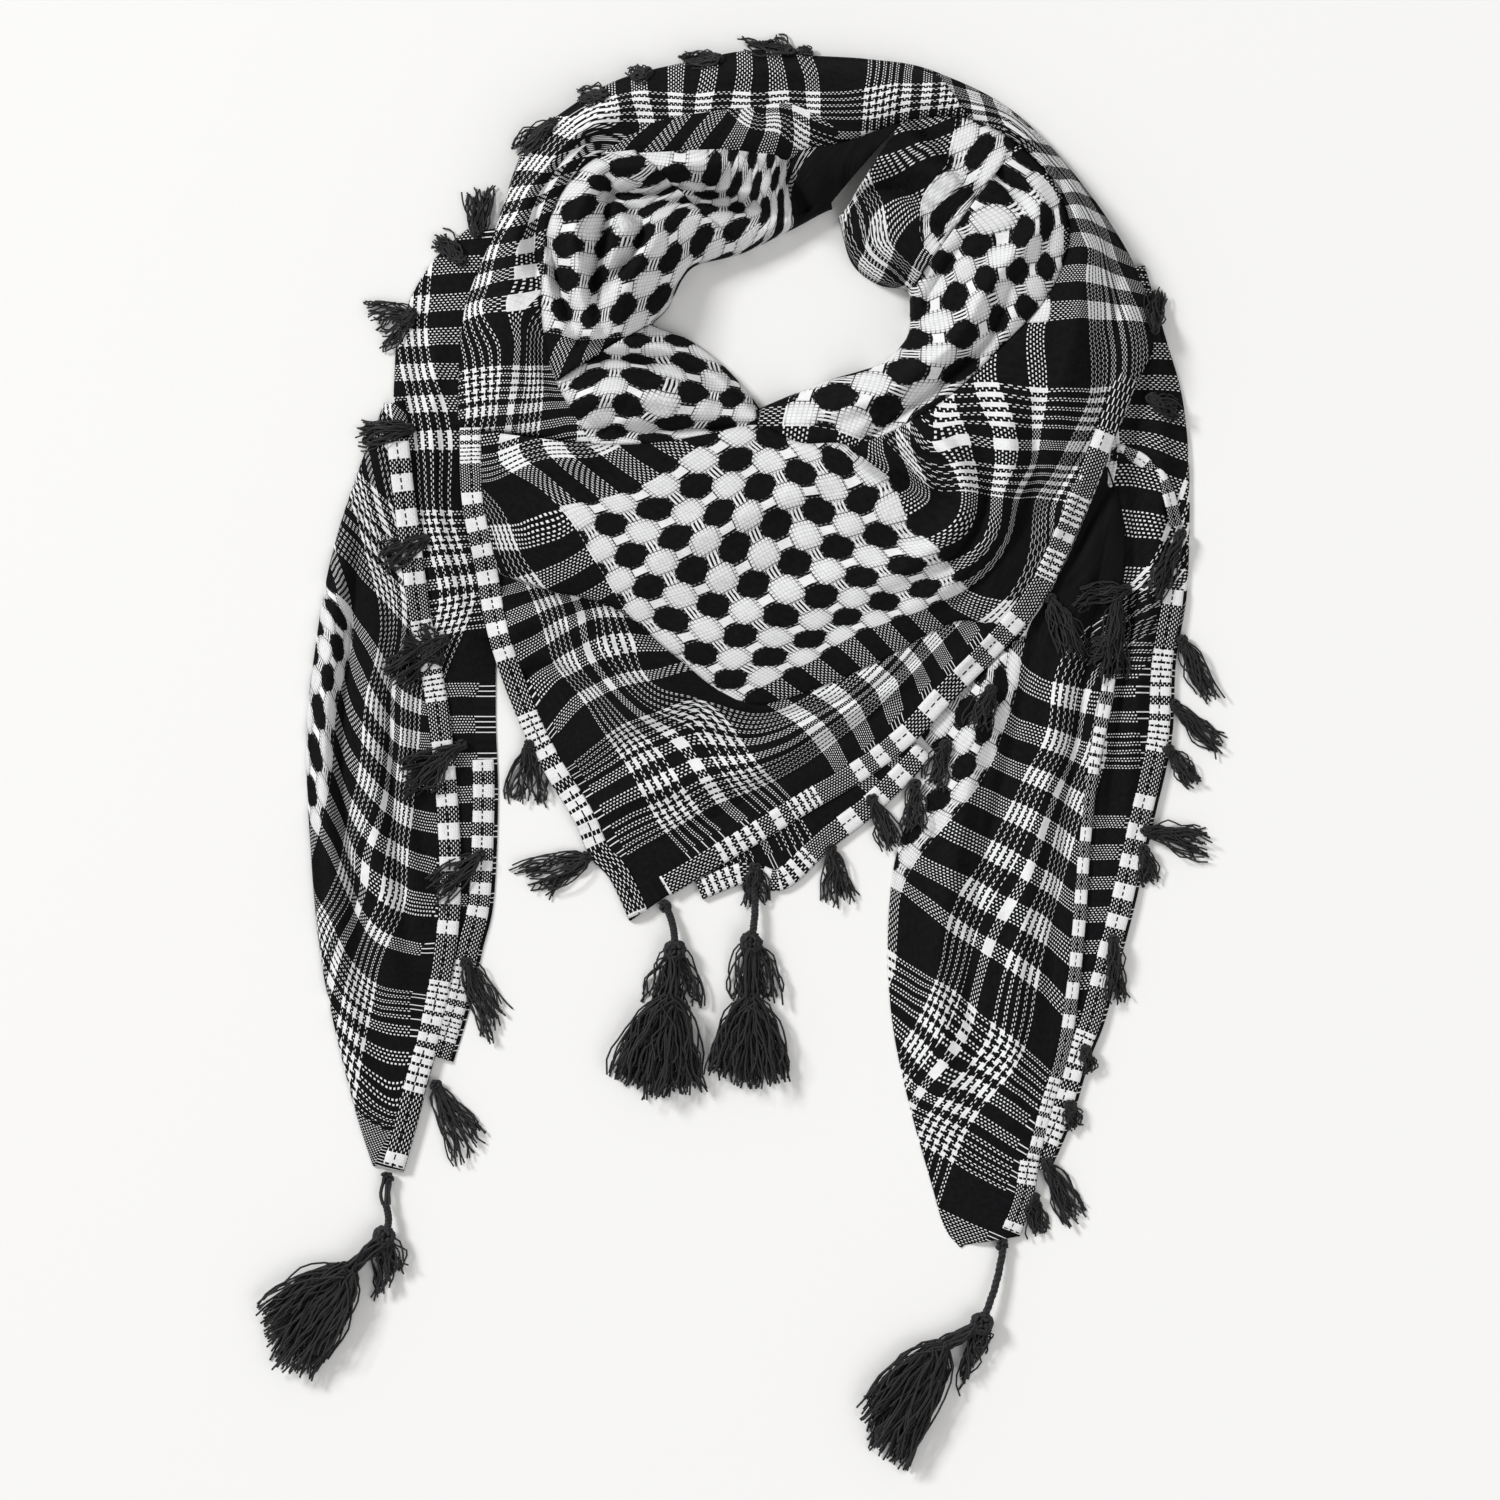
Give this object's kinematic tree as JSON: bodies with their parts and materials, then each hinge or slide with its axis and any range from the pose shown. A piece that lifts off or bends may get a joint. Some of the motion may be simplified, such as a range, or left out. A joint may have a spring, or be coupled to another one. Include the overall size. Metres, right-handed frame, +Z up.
{
  "type": "scarf",
  "caption": "Square cotton scarf in a black and white check with thread tassels, folded to a triangle, wound round an open neck and laid flat.",
  "frame": {"origin": "centre of the box round the whole scarf, on the surface that it lies on", "axes": "+X to the right as seen from above, +Y from the front corner of the triangle towards the back of the neck, +Z up from the surface"},
  "size_m": [0.4349, 0.6408, 0.0333],
  "materials": {
    "check_cotton": "thin woven cotton in a black and white check, matte",
    "black_thread": "black cotton thread, matte with a soft sheen"
  },
  "bodies": {
    "root": {"bib_field": "check_cotton", "bib_border": "check_cotton", "bib_back": "check_cotton", "wrap_left": "check_cotton", "wrap_top": "check_cotton", "wrap_right": "check_cotton", "shoulder_right": "check_cotton", "neck_left": "check_cotton", "neck_lobe": "check_cotton", "neck_back": "check_cotton", "neck_right_lobe": "check_cotton", "neck_right_roll": "check_cotton", "side_left": "check_cotton", "tail_left": "check_cotton", "side_right": "check_cotton", "tail_right": "check_cotton", "corner_tassel_1": "black_thread", "corner_tassel_2": "black_thread", "corner_tassel_3": "black_thread", "corner_tassel_4": "black_thread", "hem_tassel_top": "black_thread", "hem_tassel_left": "black_thread", "hem_tassel_bib_1": "black_thread", "hem_tassel_bib_2": "black_thread", "hem_tassel_bib_3": "black_thread", "hem_tassel_tail_left_1": "black_thread", "hem_tassel_tail_left_2": "black_thread", "hem_tassel_right_1": "black_thread", "hem_tassel_right_2": "black_thread", "hem_tassel_right_3": "black_thread"}
  },
  "joints": []
}
